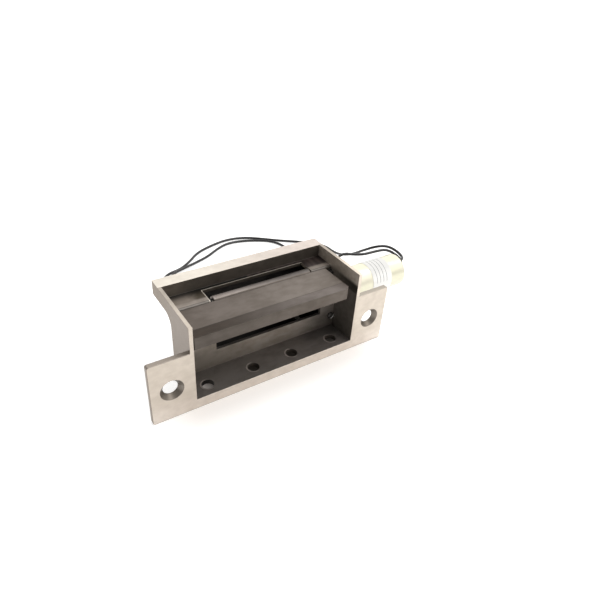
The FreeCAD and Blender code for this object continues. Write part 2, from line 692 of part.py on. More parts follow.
def lead_path(name, spots):
    points = [FreeCAD.Vector(*spot) for spot in spots]
    edges = []
    last = points[0]
    radii = []
    for index in range(1, len(points) - 1):
        before = points[index] - points[index - 1]
        after = points[index + 1] - points[index]
        turn = before.getAngle(after)
        trim = 0.45 * min(before.Length, after.Length)
        radii.append(trim / math.tan(turn / 2))
        entry = points[index] - FreeCAD.Vector(before).normalize() * trim
        leave = points[index] + FreeCAD.Vector(after).normalize() * trim
        inward = (FreeCAD.Vector(after).normalize() - FreeCAD.Vector(before).normalize()).normalize()
        centre = points[index] + inward * (radii[-1] / math.cos(turn / 2))
        middle = centre - inward * radii[-1]
        edges.append(Part.LineSegment(last, entry).toShape())
        edges.append(Part.Arc(entry, middle, leave).toShape())
        last = leave
    edges.append(Part.LineSegment(last, points[-1]).toShape())
    print(name, "radii", [round(value, 1) for value in radii])
    return Part.Wire(edges)


rest = plate_bottom.number + read("table_lift") + read("lead_radius")
lead_lift = read("lead_lift")
lead_exit = grommet_right.number
middle = solenoid_depth.number
upper_route = [
    (lead_exit, middle, lead_rise_upper.number), (102.4, 31.0, 4.6), (105.7, 35.0, 4.1), (105.3, 40.4, 5.5),
    (101.2, 44.0, 7.6), (94.6, 45.8, 8.2), (90.4, 52.0, 3.6), (91.0, 61.6, -4.0), (92.8, 71.6, -10.4),
    (94.0, 82.6, rest), (93.6, 95.8, rest), (82.6, 106.0, rest), (69.6, 114.6, rest), (59.0, 123.4, rest),
    (49.4, 129.6, rest), (38.4, 131.6, rest), (26.2, 129.0, rest), (14.0, 124.4, rest), (4.6, 115.8, rest),
    (-3.6, 110.2, rest), (-12.4, 108.6, rest), (-18.6, 102.0, rest), (-19.4, 92.0, rest), (-14.6, 81.0, rest),
    (-5.4, 72.0, rest), (7.4, 66.4, rest), (21.0, 65.0, rest), (34.0, 68.0, rest)]
lower_route = [
    (lead_exit, middle, lead_rise_lower.number), (101.4, 30.85, 2.0), (104.5, 33.5, 1.8), (105.2, 37.6, 2.6),
    (102.9, 41.2, 4.6), (98.0, 42.4, 6.8), (89.0, 41.4, 8.2), (82.0, 42.2, 7.8), (76.4, 45.0, 7.7),
    (71.2, 47.8, 8.4), (66.6, 48.2, 6.0), (64.4, 47.0, 1.8), (65.4, 45.4, -3.8), (63.6, 48.6, -9.8),
    (60.4, 55.6, -13.6), (58.8, 65.0, rest), (61.4, 78.6, rest), (67.4, 92.6, rest), (69.0, 106.2, rest),
    (64.9, 116.2, rest), (56.4, 121.6, rest), (46.6, 125.6, rest), (36.4, 126.8, rest), (27.4, 123.0, rest),
    (18.0, 117.0, rest), (8.2, 113.4, rest), (-1.4, 108.8, rest + lead_lift), (-9.6, 106.2, rest + lead_lift),
    (-14.6, 100.6, rest), (-15.2, 92.4, rest), (-10.8, 83.0, rest), (-2.2, 75.4, rest), (9.0, 71.0, rest),
    (21.0, 70.4, rest), (32.0, 73.6, rest)]
for name, route in (("upper_lead", upper_route), ("lower_lead", lower_route)):
    path = lead_path(name, route)
    heading = FreeCAD.Vector(*route[1]) - FreeCAD.Vector(*route[0])
    cover = swept(path, read("lead_radius"), FreeCAD.Vector(*route[0]), heading)
    feature(name + "_solid", cover, name)
    finish = FreeCAD.Vector(*route[-1])
    outward = (finish - FreeCAD.Vector(*route[-2])).normalize()
    bare = Part.makeCylinder(read("lead_core"), read("lead_bare"), finish, outward)
    feature(name + "_end_solid", bare, name + "_end")

doc.recompute()
os.makedirs("parts", exist_ok=True)
for item in doc.Objects:
    if "Invalid" in item.State or "Error" in item.State:
        raise RuntimeError(item.Name + " is in state " + str(item.State))
for item, node in exported:
    shape = item.Shape
    if not shape.isValid():
        raise RuntimeError(node + " has an invalid shape")
    print(node, len(shape.Solids), round(shape.Volume, 2))
    shape.exportStep(os.path.join("parts", node + ".step"))
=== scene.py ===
import json
import math
import bpy
from mathutils import Matrix, Vector


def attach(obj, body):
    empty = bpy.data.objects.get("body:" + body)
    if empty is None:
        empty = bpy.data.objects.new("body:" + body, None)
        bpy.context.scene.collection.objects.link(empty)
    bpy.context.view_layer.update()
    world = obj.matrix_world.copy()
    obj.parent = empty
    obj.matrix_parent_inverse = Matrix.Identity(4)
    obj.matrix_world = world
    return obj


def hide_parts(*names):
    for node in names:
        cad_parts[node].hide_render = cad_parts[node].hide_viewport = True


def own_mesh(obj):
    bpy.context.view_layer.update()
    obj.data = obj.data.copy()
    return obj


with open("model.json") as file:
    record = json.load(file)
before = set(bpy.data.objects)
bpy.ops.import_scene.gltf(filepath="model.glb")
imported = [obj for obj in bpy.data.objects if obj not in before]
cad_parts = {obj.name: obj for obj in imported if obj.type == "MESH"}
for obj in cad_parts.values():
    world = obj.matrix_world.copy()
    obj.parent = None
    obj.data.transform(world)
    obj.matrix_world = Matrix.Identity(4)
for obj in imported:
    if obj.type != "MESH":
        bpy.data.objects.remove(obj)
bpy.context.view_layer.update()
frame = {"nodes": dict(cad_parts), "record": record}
nodes = frame["nodes"]
scene = bpy.context.scene
MM = 0.001


# Colours, and helpers that build node trees. Places and lengths are given in mm.
def rgb(red, green, blue):
    return (red, green, blue, 1.0)


def grey(value):
    return rgb(value, value, value)


def shade(value):
    return grey(value) if isinstance(value, float) else rgb(*value)


class Tree:
    def __init__(self, tree):
        self.tree = tree

    def add(self, kind, **settings):
        node = self.tree.nodes.new(kind)
        for key, value in settings.items():
            setattr(node, key, value)
        return node

    def link(self, source, target):
        self.tree.links.new(source, target)

    def feed(self, socket, value):
        if isinstance(value, bpy.types.NodeSocket):
            self.link(value, socket)
        else:
            socket.default_value = value

    def math(self, operation, first, second=0.0, clamp=False):
        node = self.add("ShaderNodeMath", operation=operation, use_clamp=clamp)
        self.feed(node.inputs[0], first)
        self.feed(node.inputs[1], second)
        return node.outputs[0]

    def plus(self, first, second, clamp=False):
        return self.math("ADD", first, second, clamp)

    def minus(self, first, second):
        return self.math("SUBTRACT", first, second)

    def size(self, value):
        return self.math("ABSOLUTE", value)

    # Of masks, this is where all of them are
    def product(self, *factors):
        total = factors[0]
        for factor in factors[1:]:
            total = self.math("MULTIPLY", total, factor)
        return total

    def any_of(self, masks):
        total = masks[0]
        for mask in masks[1:]:
            total = self.math("MAXIMUM", total, mask)
        return total

    # From first, up to low, smoothly to last, from high on
    def smooth(self, value, low, high, first=0.0, last=1.0):
        node = self.add("ShaderNodeMapRange", clamp=True, interpolation_type="SMOOTHSTEP")
        self.feed(node.inputs["Value"], value)
        for key, number in (("From Min", low), ("From Max", high), ("To Min", first), ("To Max", last)):
            node.inputs[key].default_value = number
        return node.outputs["Result"]


class Material(Tree):
    def __init__(self, name):
        self.material = bpy.data.materials.new(name)
        self.material.use_nodes = True
        super().__init__(self.material.node_tree)
        self.tree.nodes.clear()
        self.shader = self.add("ShaderNodeBsdfPrincipled")
        output = self.add("ShaderNodeOutputMaterial")
        self.link(self.shader.outputs[0], output.inputs["Surface"])
        self.coords = self.add("ShaderNodeTexCoord").outputs

    def split(self, source):
        node = self.add("ShaderNodeSeparateXYZ")
        self.link(source, node.inputs[0])
        return node.outputs[0], node.outputs[1], node.outputs[2]

    def axes(self):
        return self.split(self.coords["Object"])

    def facing(self):
        return self.split(self.coords["Normal"])

    def noise(self, scale, stretch=(1, 1, 1), detail=3.0, seed=0.0):
        mapping = self.add("ShaderNodeMapping")
        mapping.inputs["Scale"].default_value = stretch
        mapping.inputs["Location"].default_value = (seed, seed * 0.7, -seed)
        self.link(self.coords["Object"], mapping.inputs[0])
        node = self.add("ShaderNodeTexNoise")
        self.link(mapping.outputs[0], node.inputs["Vector"])
        node.inputs["Scale"].default_value = scale
        node.inputs["Detail"].default_value = detail
        return node.outputs[0]

    # Places on one axis
    def rise(self, value, start, end):
        return self.smooth(value, start * MM, end * MM)

    def fall(self, value, start, end):
        return self.minus(1.0, self.rise(value, start, end))

    def past(self, value, place):
        return self.math("GREATER_THAN", value, place * MM)

    def before(self, value, place):
        return self.math("LESS_THAN", value, place * MM)

    def near(self, value, centre, reach):
        return self.before(self.size(self.minus(value, centre * MM)), reach)

    def box(self, low, high):
        tests = []
        for value, start, end in zip(self.axes(), low, high):
            tests += [self.past(value, start), self.before(value, end)]
        return self.product(*tests)

    # Colours
    def mix(self, factor, first, second, blend="MIX"):
        node = self.add("ShaderNodeMix", data_type="RGBA", blend_type=blend)
        self.feed(node.inputs["Factor"], factor)
        self.feed(node.inputs[6], first)
        self.feed(node.inputs[7], second)
        return node.outputs[2]

    def times(self, colour, factor):
        return self.mix(1.0, colour, factor, "MULTIPLY")

    # The colour times first where the factor is 0, and times last where it is 1
    def fade(self, colour, factor, first, last):
        return self.times(colour, self.mix(factor, shade(first), shade(last)))

    def set(self, **values):
        for key, value in values.items():
            self.feed(self.shader.inputs[key.replace("_", " ")], value)

    def set_rough(self, least, texture, spread):
        self.set(Roughness=self.plus(least, self.product(texture, spread)))

    # A fine relief, over edges that look slightly rounded
    def soften(self, height, strength, depth=0.05, radius=0.3):
        edge = self.add("ShaderNodeBevel", samples=6)
        edge.inputs["Radius"].default_value = radius * MM
        node = self.add("ShaderNodeBump")
        node.inputs["Strength"].default_value = strength
        node.inputs["Distance"].default_value = depth * MM
        self.feed(node.inputs["Height"], height)
        self.link(edge.outputs[0], node.inputs["Normal"])
        self.link(node.outputs[0], self.shader.inputs["Normal"])


# The frame: bright satin steel outside, dark oxide inside the pocket, with painted light and shade on both
POCKET_LOW = (-41.95, 0.05, -13.0)
POCKET_HIGH = (41.95, 33.05, 28.5)
POCKET_SPAN = (-40.0, 36.0)
WALL_OUT_X = 43.6
RIM_FRONT_Y = 33.0
RIM_LOW_Z = 20.6
TOP_Z = 28.2
EAR_TOP_Z = 15.875
EAR_HOLE_X = 52.3875
SINK_RADIUS = 5.32
DRAIN_X = (10.55, 33.85)
DRAIN_Y = 6.5
DRAIN_RADIUS = 2.9
FLOOR_TOP_Z = -10.52
LEDGE_FRONT_Y = 22.85
WINDOW_BACK_Y = 31.1
WINDOW_LEFT_X = -24.1
EDGE_WIDTH = 0.3
STEEP = 0.5


# Outside, painted light and shade: the top faces are painted lighter, and the left side wall, the ears' top
# edges and the countersinks are painted darker than the front
def outside_tone(made):
    x, y, z = made.axes()
    side, _, up = made.facing()
    across = made.rise(x, *POCKET_SPAN)
    from_middle = made.size(x)
    mottle = made.noise(330, (0.7, 1, 1), 5.0, 9.0)
    tone = made.mix(made.smooth(mottle, 0.2, 0.8), rgb(0.47, 0.415, 0.355), rgb(0.555, 0.495, 0.428))
    tone = made.fade(tone, made.rise(x, -20, 55), 1.03, 1.11)
    tone = made.fade(tone, made.fall(z, -15, -3), 1.0, (1.22, 1.24, 1.29))

    # painted shade on the outside of the left end wall, deeper toward the back
    cheek = made.mix(mottle, rgb(0.205, 0.166, 0.136), rgb(0.245, 0.205, 0.172))
    cheek = made.fade(cheek, made.rise(y, 10, 34), 1.0, (0.84, 0.80, 0.72))
    left_side_shade = made.product(made.math("LESS_THAN", side, -STEEP), made.before(x, -WALL_OUT_X + 0.2))
    tone = made.mix(left_side_shade, tone, cheek)

    # painted light on the top faces, with painted shade toward the back of the end walls' tops
    level = made.math("GREATER_THAN", up, STEEP)
    wall_top_light_and_shade = made.mix(made.rise(y, 6, 26), made.mix(across, grey(0.95), grey(1.22)), grey(0.66))
    rim_top_light = made.mix(across, rgb(1.20, 1.26, 1.30), rgb(1.0, 1.0, 1.06))
    top = made.times(tone, made.mix(made.past(y, RIM_FRONT_Y), wall_top_light_and_shade, rim_top_light))
    tone = made.mix(made.product(level, made.past(z, TOP_Z)), tone, top)

    # painted shade on the ears' top edges
    ear_top = made.product(level, made.near(z, EAR_TOP_Z, 0.6), made.past(from_middle, WALL_OUT_X))
    ear_edge_shade = made.mix(made.past(x, 0), rgb(0.275, 0.24, 0.208), rgb(0.345, 0.31, 0.265))
    tone = made.mix(ear_top, tone, ear_edge_shade)
    right_front = made.product(made.before(y, 0.3), made.past(z, 16.5), made.past(x, 0))
    tone = made.fade(tone, right_front, 1.0, 1.16)
    # painted shadow along the bottom edge of the front strip, where it stands on the floor
    tone = made.mix(made.fall(z, -15.7, -15.2), tone, rgb(0.34, 0.30, 0.255))

    # painted shade in the ears' countersinks, lighter toward the top
    off_x = made.minus(from_middle, EAR_HOLE_X * MM)
    off_centre = made.math("SQRT", made.plus(made.product(off_x, off_x), made.product(z, z)))
    sink = made.product(made.before(off_centre, SINK_RADIUS), made.past(y, 0.04))
    return made.mix(sink, tone, made.mix(made.rise(z, -4, 3), rgb(0.19, 0.165, 0.14), rgb(0.24, 0.215, 0.19)))


# The pocket's floor, with painted shade toward the right and a painted highlight on two sides of each drain
# hole's rim
def floor_tone(made):
    x, y, z = made.axes()
    # painted shade on the pocket's floor, darker toward the right and in the back right corner
    tone = made.mix(made.rise(x, *POCKET_SPAN), rgb(0.147, 0.133, 0.122), rgb(0.086, 0.076, 0.070))
    tone = made.fade(tone, made.rise(x, -16, 10), 0.96, 1.22)
    tone = made.fade(tone, made.rise(y, 2, 8), 0.92, 1.08)
    tone = made.fade(tone, made.rise(x, 10, 20), 1.0, 1.16)
    back_corner_shade = made.product(made.rise(x, 17, 26), made.rise(y, 7.5, 11.5))
    tone = made.fade(tone, back_corner_shade, 1.0, 0.62)
    bores = []
    rings = []
    for spot in DRAIN_X:
        off_x = made.minus(made.size(x), spot * MM)
        off_y = made.minus(y, DRAIN_Y * MM)
        off_centre = made.math("SQRT", made.plus(made.product(off_x, off_x), made.product(off_y, off_y)))
        bores.append(made.before(off_centre, DRAIN_RADIUS))
        off_right = made.product(off_x, made.math("SIGN", x))
        to_back_left = made.minus(made.product(off_y, 0.53), made.product(off_right, 0.85))
        to_front_left = made.plus(made.product(off_y, -0.84), made.product(off_right, -0.55))
        lit = made.plus(made.rise(to_back_left, 0.6, 2.2),
                        made.product(made.rise(to_front_left, 1.2, 2.6), 0.6), clamp=True)
        rings.append(made.product(lit, made.near(off_centre, DRAIN_RADIUS + 0.2, 0.42)))
    tone = made.fade(tone, made.any_of(rings), 1.0, 2.3)
    # painted shade inside the drain bores, lighter toward the left
    bore = made.product(made.any_of(bores), made.before(z, FLOOR_TOP_Z))
    bore_shade = made.mix(made.rise(x, -30, -14), rgb(0.016, 0.014, 0.012), rgb(0.080, 0.068, 0.056))
    return tone, bore, bore_shade


# The ledges beside the window under the rim, painted with shade, with a painted highlight on their front lip and
# along the window's edges
def ledge_tone(made):
    x, y, _ = made.axes()
    streaks = made.noise(500, (1.0, 0.06, 1), 3.0, 12.0)
    ragged_shade_noise = made.noise(230, (1, 1, 1), 3.0, 31.0)
    ragged_x = made.plus(x, made.product(made.minus(ragged_shade_noise, 0.5), 6 * MM))
    # painted shade on the left ledge toward the window and the back, with a ragged border, and the right ledge
    # painted dark with shade
    left = made.mix(made.rise(ragged_x, -32, -26.8), rgb(0.168, 0.143, 0.121), rgb(0.048, 0.038, 0.026))
    left = made.fade(left, made.rise(y, 27.2, 32.5), 1.12, 0.10)
    right = made.mix(made.smooth(streaks, 0.3, 0.7), rgb(0.011, 0.006, 0.005), rgb(0.051, 0.036, 0.032))
    tone = made.mix(made.past(x, 0), left, right)
    lip_highlight = made.mix(streaks, rgb(0.20, 0.172, 0.150), rgb(0.27, 0.235, 0.205))
    tone = made.mix(made.product(made.fall(y, 24.6, 26.2), 0.8), tone, lip_highlight)
    tone = made.mix(made.before(y, LEDGE_FRONT_Y), tone, rgb(0.10, 0.088, 0.077))
    back_edge_highlight = made.product(made.near(y, WINDOW_BACK_Y, EDGE_WIDTH), made.near(x, 3.05, 27.35))
    left_edge_highlight = made.product(made.near(x, WINDOW_LEFT_X, EDGE_WIDTH), made.near(y, 26.2, 5.0))
    tone = made.mix(back_edge_highlight, tone, rgb(0.26, 0.235, 0.205))
    return made.mix(left_edge_highlight, tone, rgb(0.42, 0.38, 0.33))


# Inside, each face of the pocket is painted with its own light and shade over the dark oxide
def inside_tone(made):
    x, y, z = made.axes()
    side, _, up = made.facing()
    # painted shade on the back wall, darker toward the bottom and the right
    wall = made.mix(made.rise(x, *POCKET_SPAN), rgb(0.29, 0.25, 0.21), rgb(0.215, 0.187, 0.164))
    wall = made.fade(wall, made.rise(z, -4, 4), 0.79, 0.98)
    wall = made.fade(wall, made.rise(x, -34, 14), 0.80, 1.45)
    wall = made.fade(wall, made.rise(x, 16, 36), 1.0, 0.52)
    # the rim's inner face: dark oxide with painted shade, painted lighter toward its left end
    rim = made.mix(made.noise(300, (0.5, 1, 1), 4.0, 21.0), rgb(0.051, 0.043, 0.036), rgb(0.081, 0.069, 0.056))
    rim = made.fade(rim, made.rise(x, -38, -24), 1.55, 1.0)
    # painted shade on the end walls' inner faces: dark below the keeper, a painted shadow band beside the
    # keeper's edge that is darkest toward the front, and painted light above it
    middle_cheek = made.mix(made.rise(y, 3, 24), rgb(0.03, 0.026, 0.021), rgb(0.30, 0.26, 0.22))
    cheek = made.mix(made.rise(z, 17.2, 17.8), rgb(0.098, 0.087, 0.076), middle_cheek)
    cheek = made.mix(made.rise(z, 21.2, 23.4), cheek, rgb(0.46, 0.405, 0.35))
    floor, bore, bore_shade = floor_tone(made)
    flat = made.mix(made.past(z, 0), floor, ledge_tone(made))

    tone = made.mix(made.past(z, RIM_LOW_Z), wall, rim)
    tone = made.mix(made.math("GREATER_THAN", up, STEEP), tone, flat)
    tone = made.mix(made.math("GREATER_THAN", made.size(side), STEEP), tone, cheek)
    tone = made.mix(bore, tone, bore_shade)
    blotch = made.plus(made.product(made.noise(70, (0.6, 1, 1), 4.0, 3.0), 0.55),
                       made.product(made.noise(420, (0.5, 1, 1), 3.0, 17.0), 0.45))
    return made.fade(tone, made.smooth(blotch, 0.36, 0.64), (0.84, 0.82, 0.79), 1.16)


def frame_material():
    made = Material("satin_frame")
    inside = made.box(POCKET_LOW, POCKET_HIGH)
    grain = made.noise(1400, (1, 1, 1), 4.0)
    brushed = made.noise(900, (0.05, 1, 1), 3.0, 2.0)
    texture = made.plus(made.product(grain, 0.6), made.product(brushed, 0.4))
    made.set(Base_Color=made.mix(inside, outside_tone(made), inside_tone(made)),
             Metallic=made.minus(0.9, made.product(inside, 0.5)))
    made.set_rough(0.33, texture, 0.16)
    made.soften(texture, 0.16, 0.06)
    return made.material


# The keeper: its top, its nose in front of a ridge, its front face and its hinge barrel
RIDGE_Y = 6.2
BARREL_Y = 21.4


def keeper_material():
    made = Material("dark_keeper")
    x, y, z = made.axes()
    side, front, up = made.facing()
    across = made.rise(x, *POCKET_SPAN)
    grain = made.noise(700, (0.25, 1, 1), 4.0, 5.0)
    mottle = made.noise(95, (0.7, 1, 1), 4.0, 11.0)
    fine = made.noise(420, (0.55, 1, 1), 4.0, 14.0)
    line = rgb(0.03, 0.026, 0.022)
    # painted light and shade: the top and front face are painted lighter toward the right, the nose carries a
    # painted reflection that is dark at the left and bright at the right, and the barrel is painted lighter
    # toward the left
    top = made.mix(across, rgb(0.108, 0.090, 0.078), rgb(0.158, 0.136, 0.119))
    nose = made.mix(made.rise(x, -36, 36), rgb(0.029, 0.019, 0.012), rgb(0.146, 0.125, 0.114))
    face = made.mix(across, rgb(0.083, 0.070, 0.060), rgb(0.106, 0.088, 0.074))
    barrel = made.mix(made.rise(x, -30, 22), rgb(0.245, 0.215, 0.198), rgb(0.100, 0.088, 0.081))

    colour = made.mix(made.past(y, RIDGE_Y), nose, top)
    ridge_line = made.product(made.near(y, RIDGE_Y, 0.28), made.past(z, 21.6))
    colour = made.mix(made.product(ridge_line, 0.35), colour, line)
    rounded = made.past(y, BARREL_Y)
    colour = made.mix(rounded, colour, barrel)
    # painted shade in the valley between the barrel and the top
    valley_shade = made.product(made.near(y, BARREL_Y - 0.1, 0.4), made.math("GREATER_THAN", up, 0.0))
    colour = made.fade(colour, valley_shade, 1.0, 0.62)
    colour = made.mix(made.math("LESS_THAN", front, -STEEP), colour, face)
    edge_line = made.product(made.near(y, 0.62, 0.26), made.past(z, 22.1))
    colour = made.mix(made.product(edge_line, 0.4), colour, line)
    # painted light on the bevel at the right front corner
    bevel_light = made.product(made.math("GREATER_THAN", side, 0.3), made.before(y, 2.6))
    colour = made.fade(colour, bevel_light, 1.0, 1.45)
    blotch = made.plus(made.product(mottle, 0.6), made.product(fine, 0.4))
    colour = made.fade(colour, made.smooth(blotch, 0.36, 0.64), (0.86, 0.84, 0.81), 1.15)

    made.set(Base_Color=colour, Metallic=0.7,
             Roughness=made.plus(made.product(rounded, 0.1), made.plus(0.38, made.product(grain, 0.16))))
    made.soften(grain, 0.12)
    return made.material


# A blank white label with thin ruled lines
LINE_COUNT = 4
FIRST_LINE_X = 76.1
LINE_PITCH = 2.3
LINE_HALF_WIDTH = 0.13


def label_material():
    made = Material("blank_label")
    x, _, z = made.axes()
    fine = made.noise(1500, (1, 1, 1), 3.0, 4.0)
    paper = made.mix(fine, rgb(0.79, 0.785, 0.765), rgb(0.84, 0.835, 0.815))
    # painted shade toward the top of the label
    paper = made.fade(paper, made.rise(z, 4.0, 8.5), 0.99, 0.76)
    lines = made.any_of([made.near(x, FIRST_LINE_X + LINE_PITCH * step, LINE_HALF_WIDTH)
                         for step in range(LINE_COUNT)])
    lines = made.product(lines, made.past(z, 1.2))
    made.set(Base_Color=made.mix(lines, paper, rgb(0.16, 0.16, 0.17)))
    made.set_rough(0.52, fine, 0.1)
    made.soften(fine, 0.1, 0.04, 0.2)
    return made.material


# The small domed screw, dark with a painted glint on one side
def screw_material():
    made = Material("dark_screw")
    x, _, z = made.axes()
    fine = made.noise(900, (1, 1, 1), 3.0, 3.0)
    painted_glint = made.rise(made.minus(x, z), 44.6, 45.3)
    made.set(Base_Color=made.mix(painted_glint, rgb(0.03, 0.027, 0.024), rgb(0.95, 0.94, 0.92)), Metallic=0.2)
    made.set_rough(0.26, fine, 0.1)
    made.soften(fine, 0.1, 0.04)
    return made.material


# Pale yellow passivated plating, which turns slightly pink in patches
def zinc_material():
    made = Material("pale_yellow_zinc")
    tint = made.noise(70, (1, 1, 1), 3.0, 2.0)
    patch = made.noise(190, (0.4, 1, 1), 3.0, 6.0)
    yellow = made.mix(tint, rgb(0.685, 0.66, 0.50), rgb(0.715, 0.70, 0.575))
    pink = made.product(made.smooth(patch, 0.5, 0.72), 0.4)
    made.set(Base_Color=made.mix(pink, yellow, rgb(0.695, 0.645, 0.575)), Metallic=0.55)
    made.set_rough(0.26, patch, 0.16)
    made.soften(patch, 0.06)
    return made.material


# Plain metals and mouldings
def steel(name, dark, light, roughness, metallic=0.9, grain=600, stretch=(1, 1, 1)):
    made = Material(name)
    fine = made.noise(grain, stretch, 4.0)
    broad = made.noise(90, (1, 1, 1), 3.0, 7.0)
    made.set(Base_Color=made.mix(broad, rgb(*dark), rgb(*light)), Metallic=metallic)
    made.set_rough(roughness, fine, 0.15)
    made.soften(fine, 0.12)
    return made.material


def moulded(name, colour, roughness, spread=0.15):
    made = Material(name)
    fine = made.noise(900, (1, 1, 1), 3.0, 4.0)
    dark = [value * (1.0 - spread) for value in colour]
    light = [value * (1.0 + spread) for value in colour]
    made.set(Base_Color=made.mix(fine, rgb(*dark), rgb(*light)))
    made.set_rough(roughness, fine, 0.1)
    made.soften(fine, 0.1, radius=0.2)
    return made.material


paint = {
    "satin_steel": frame_material(),
    "keeper_steel": keeper_material(),
    "pin_steel": steel("pin_steel", (0.42, 0.40, 0.37), (0.58, 0.56, 0.52), 0.24),
    "spring_steel": steel("spring_steel", (0.022, 0.021, 0.020), (0.04, 0.038, 0.036), 0.45, 0.4),
    "bracket_steel": steel("bracket_steel", (0.035, 0.033, 0.031), (0.055, 0.052, 0.048), 0.38, 0.6,
                           500, (0.15, 1, 1)),
    "lever_steel": steel("lever_steel", (0.065, 0.06, 0.056), (0.11, 0.105, 0.098), 0.34),
    "yellow_zinc": zinc_material(),
    "bobbin_plastic": moulded("bobbin_plastic", (0.72, 0.71, 0.67), 0.45),
    "coil_copper": steel("coil_copper", (0.46, 0.18, 0.07), (0.58, 0.26, 0.10), 0.28, 0.85,
                         2500, (1, 0.02, 0.02)),
    "black_rubber": moulded("black_rubber", (0.014, 0.014, 0.014), 0.55),
    "label_white": label_material(),
    "lead_black": moulded("lead_black", (0.012, 0.011, 0.012), 0.32),
    "lead_copper": steel("lead_copper", (0.62, 0.33, 0.17), (0.74, 0.44, 0.26), 0.3, 0.9,
                         3000, (0.05, 1, 1)),
}
slots = {row["node"]: row["material_slot"] for row in frame["record"]["subparts"]}
special = {"stop_screw": screw_material()}
for name, item in nodes.items():
    item.data.materials.clear()
    item.data.materials.append(special.get(name, paint[slots[name]]))


def add_object(name, data, material=None):
    item = bpy.data.objects.new(name, data)
    scene.collection.objects.link(item)
    if material:
        item.data.materials.append(material)
    return item


def add_mesh(name, spots, faces, material):
    mesh = bpy.data.meshes.new(name)
    mesh.from_pydata(spots, [], faces)
    return add_object(name, mesh, material)


# Fillets in the corners between the end walls and the rim, sunk slightly into both
FILLET = 6.0
FILLET_STEPS = 12
CORNER_Y = 19.8
CORNER_Z = 21.425
SUNK = 0.1
FILLET_SPAN = (41.92, 43.58)


def fillet_outline():
    outline = [(CORNER_Y - SUNK, CORNER_Z + SUNK), (CORNER_Y + FILLET, CORNER_Z + SUNK)]
    for step in range(FILLET_STEPS + 1):
        turn = math.pi / 2 * step / FILLET_STEPS
        outline.append((CORNER_Y + FILLET * (1 - math.sin(turn)), CORNER_Z - FILLET * (1 - math.cos(turn))))
    return outline + [(CORNER_Y - SUNK, CORNER_Z - FILLET)]


inner_x, outer_x = FILLET_SPAN
for name, start, end in (("left_fillet", -outer_x, -inner_x), ("right_fillet", inner_x, outer_x)):
    outline = fillet_outline()
    count = len(outline)
    spots = [(across * MM, y * MM, z * MM) for across in (start, end) for y, z in outline]
    faces = [tuple(range(count)), tuple(range(count, 2 * count))[::-1]]
    faces += [(i, count + i, count + (i + 1) % count, (i + 1) % count) for i in range(count)]
    piece = add_mesh(name, spots, faces, paint["satin_steel"])
    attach(piece, "frame")

# The plunger's spring, with closed end turns
SPRING_AXIS_Y = 30.8
SPRING_RADIUS = 3.6
SPRING_WIRE = 0.3
SPRING_LEFT = 30.2
SPRING_RIGHT = 35.7
CLOSED_TURNS = 1.0
CLOSED_PITCH = 2.05 * SPRING_WIRE
OPEN_TURNS = 3.0
TURN_STEPS = 36
WIRE_SIDES = 12


def spring_spots():
    closed_rise = CLOSED_TURNS * CLOSED_PITCH
    open_rise = SPRING_RIGHT - SPRING_LEFT - 2 * closed_rise
    spots = []
    for step in range(int((OPEN_TURNS + 2 * CLOSED_TURNS) * TURN_STEPS) + 1):
        turn = step / TURN_STEPS
        rise = min(turn, CLOSED_TURNS) / CLOSED_TURNS * closed_rise
        rise += min(max(turn - CLOSED_TURNS, 0.0), OPEN_TURNS) / OPEN_TURNS * open_rise
        rise += max(turn - CLOSED_TURNS - OPEN_TURNS, 0.0) / CLOSED_TURNS * closed_rise
        angle = 2 * math.pi * turn
        spots.append(Vector((SPRING_LEFT + rise, SPRING_AXIS_Y + SPRING_RADIUS * math.cos(angle),
                             SPRING_RADIUS * math.sin(angle))))
    return spots


# A round wire along the coil, as rings of points and the faces between them
def coil_wire(spots):
    ring_spots = []
    for index, spot in enumerate(spots):
        ahead = spots[min(index + 1, len(spots) - 1)] - spots[max(index - 1, 0)]
        outward = Vector((0.0, spot.y - SPRING_AXIS_Y, spot.z)).normalized()
        across = ahead.normalized().cross(outward).normalized()
        for side in range(WIRE_SIDES):
            angle = 2 * math.pi * side / WIRE_SIDES
            ring_spots.append((spot + SPRING_WIRE * (math.cos(angle) * outward + math.sin(angle) * across)) * MM)
    last = len(ring_spots) - WIRE_SIDES
    faces = [tuple(range(WIRE_SIDES))[::-1], tuple(range(last, last + WIRE_SIDES))]
    for ring in range(len(spots) - 1):
        for side in range(WIRE_SIDES):
            here = ring * WIRE_SIDES + side
            beside = ring * WIRE_SIDES + (side + 1) % WIRE_SIDES
            faces.append((here, beside, beside + WIRE_SIDES, here + WIRE_SIDES))
    return ring_spots, faces


spring = add_mesh("plunger_spring_coil", *coil_wire(spring_spots()), paint["spring_steel"])
spring.data.shade_smooth()
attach(spring, "frame")
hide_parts("plunger_spring")
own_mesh(spring)

# Wire leads: smooth curves through the solids' own route points
LEAD_RADIUS = 0.8
PLATE_BOTTOM = -15.875
REST = PLATE_BOTTOM + 0.1 + LEAD_RADIUS
LIFT = 1.1
upper_route = [
    (97.4, 30.8, 4.7), (102.4, 31.0, 4.6), (105.7, 35.0, 4.1), (105.3, 40.4, 5.5),
    (101.2, 44.0, 7.6), (94.6, 45.8, 8.2), (90.4, 52.0, 3.6), (91.0, 61.6, -4.0), (92.8, 71.6, -10.4),
    (94.0, 82.6, REST), (93.6, 95.8, REST), (82.6, 106.0, REST), (69.6, 114.6, REST), (59.0, 123.4, REST),
    (49.4, 129.6, REST), (38.4, 131.6, REST), (26.2, 129.0, REST), (14.0, 124.4, REST), (4.6, 115.8, REST),
    (-3.6, 110.2, REST), (-12.4, 108.6, REST), (-18.6, 102.0, REST), (-19.4, 92.0, REST), (-14.6, 81.0, REST),
    (-5.4, 72.0, REST), (7.4, 66.4, REST), (21.0, 65.0, REST), (34.0, 68.0, REST)]
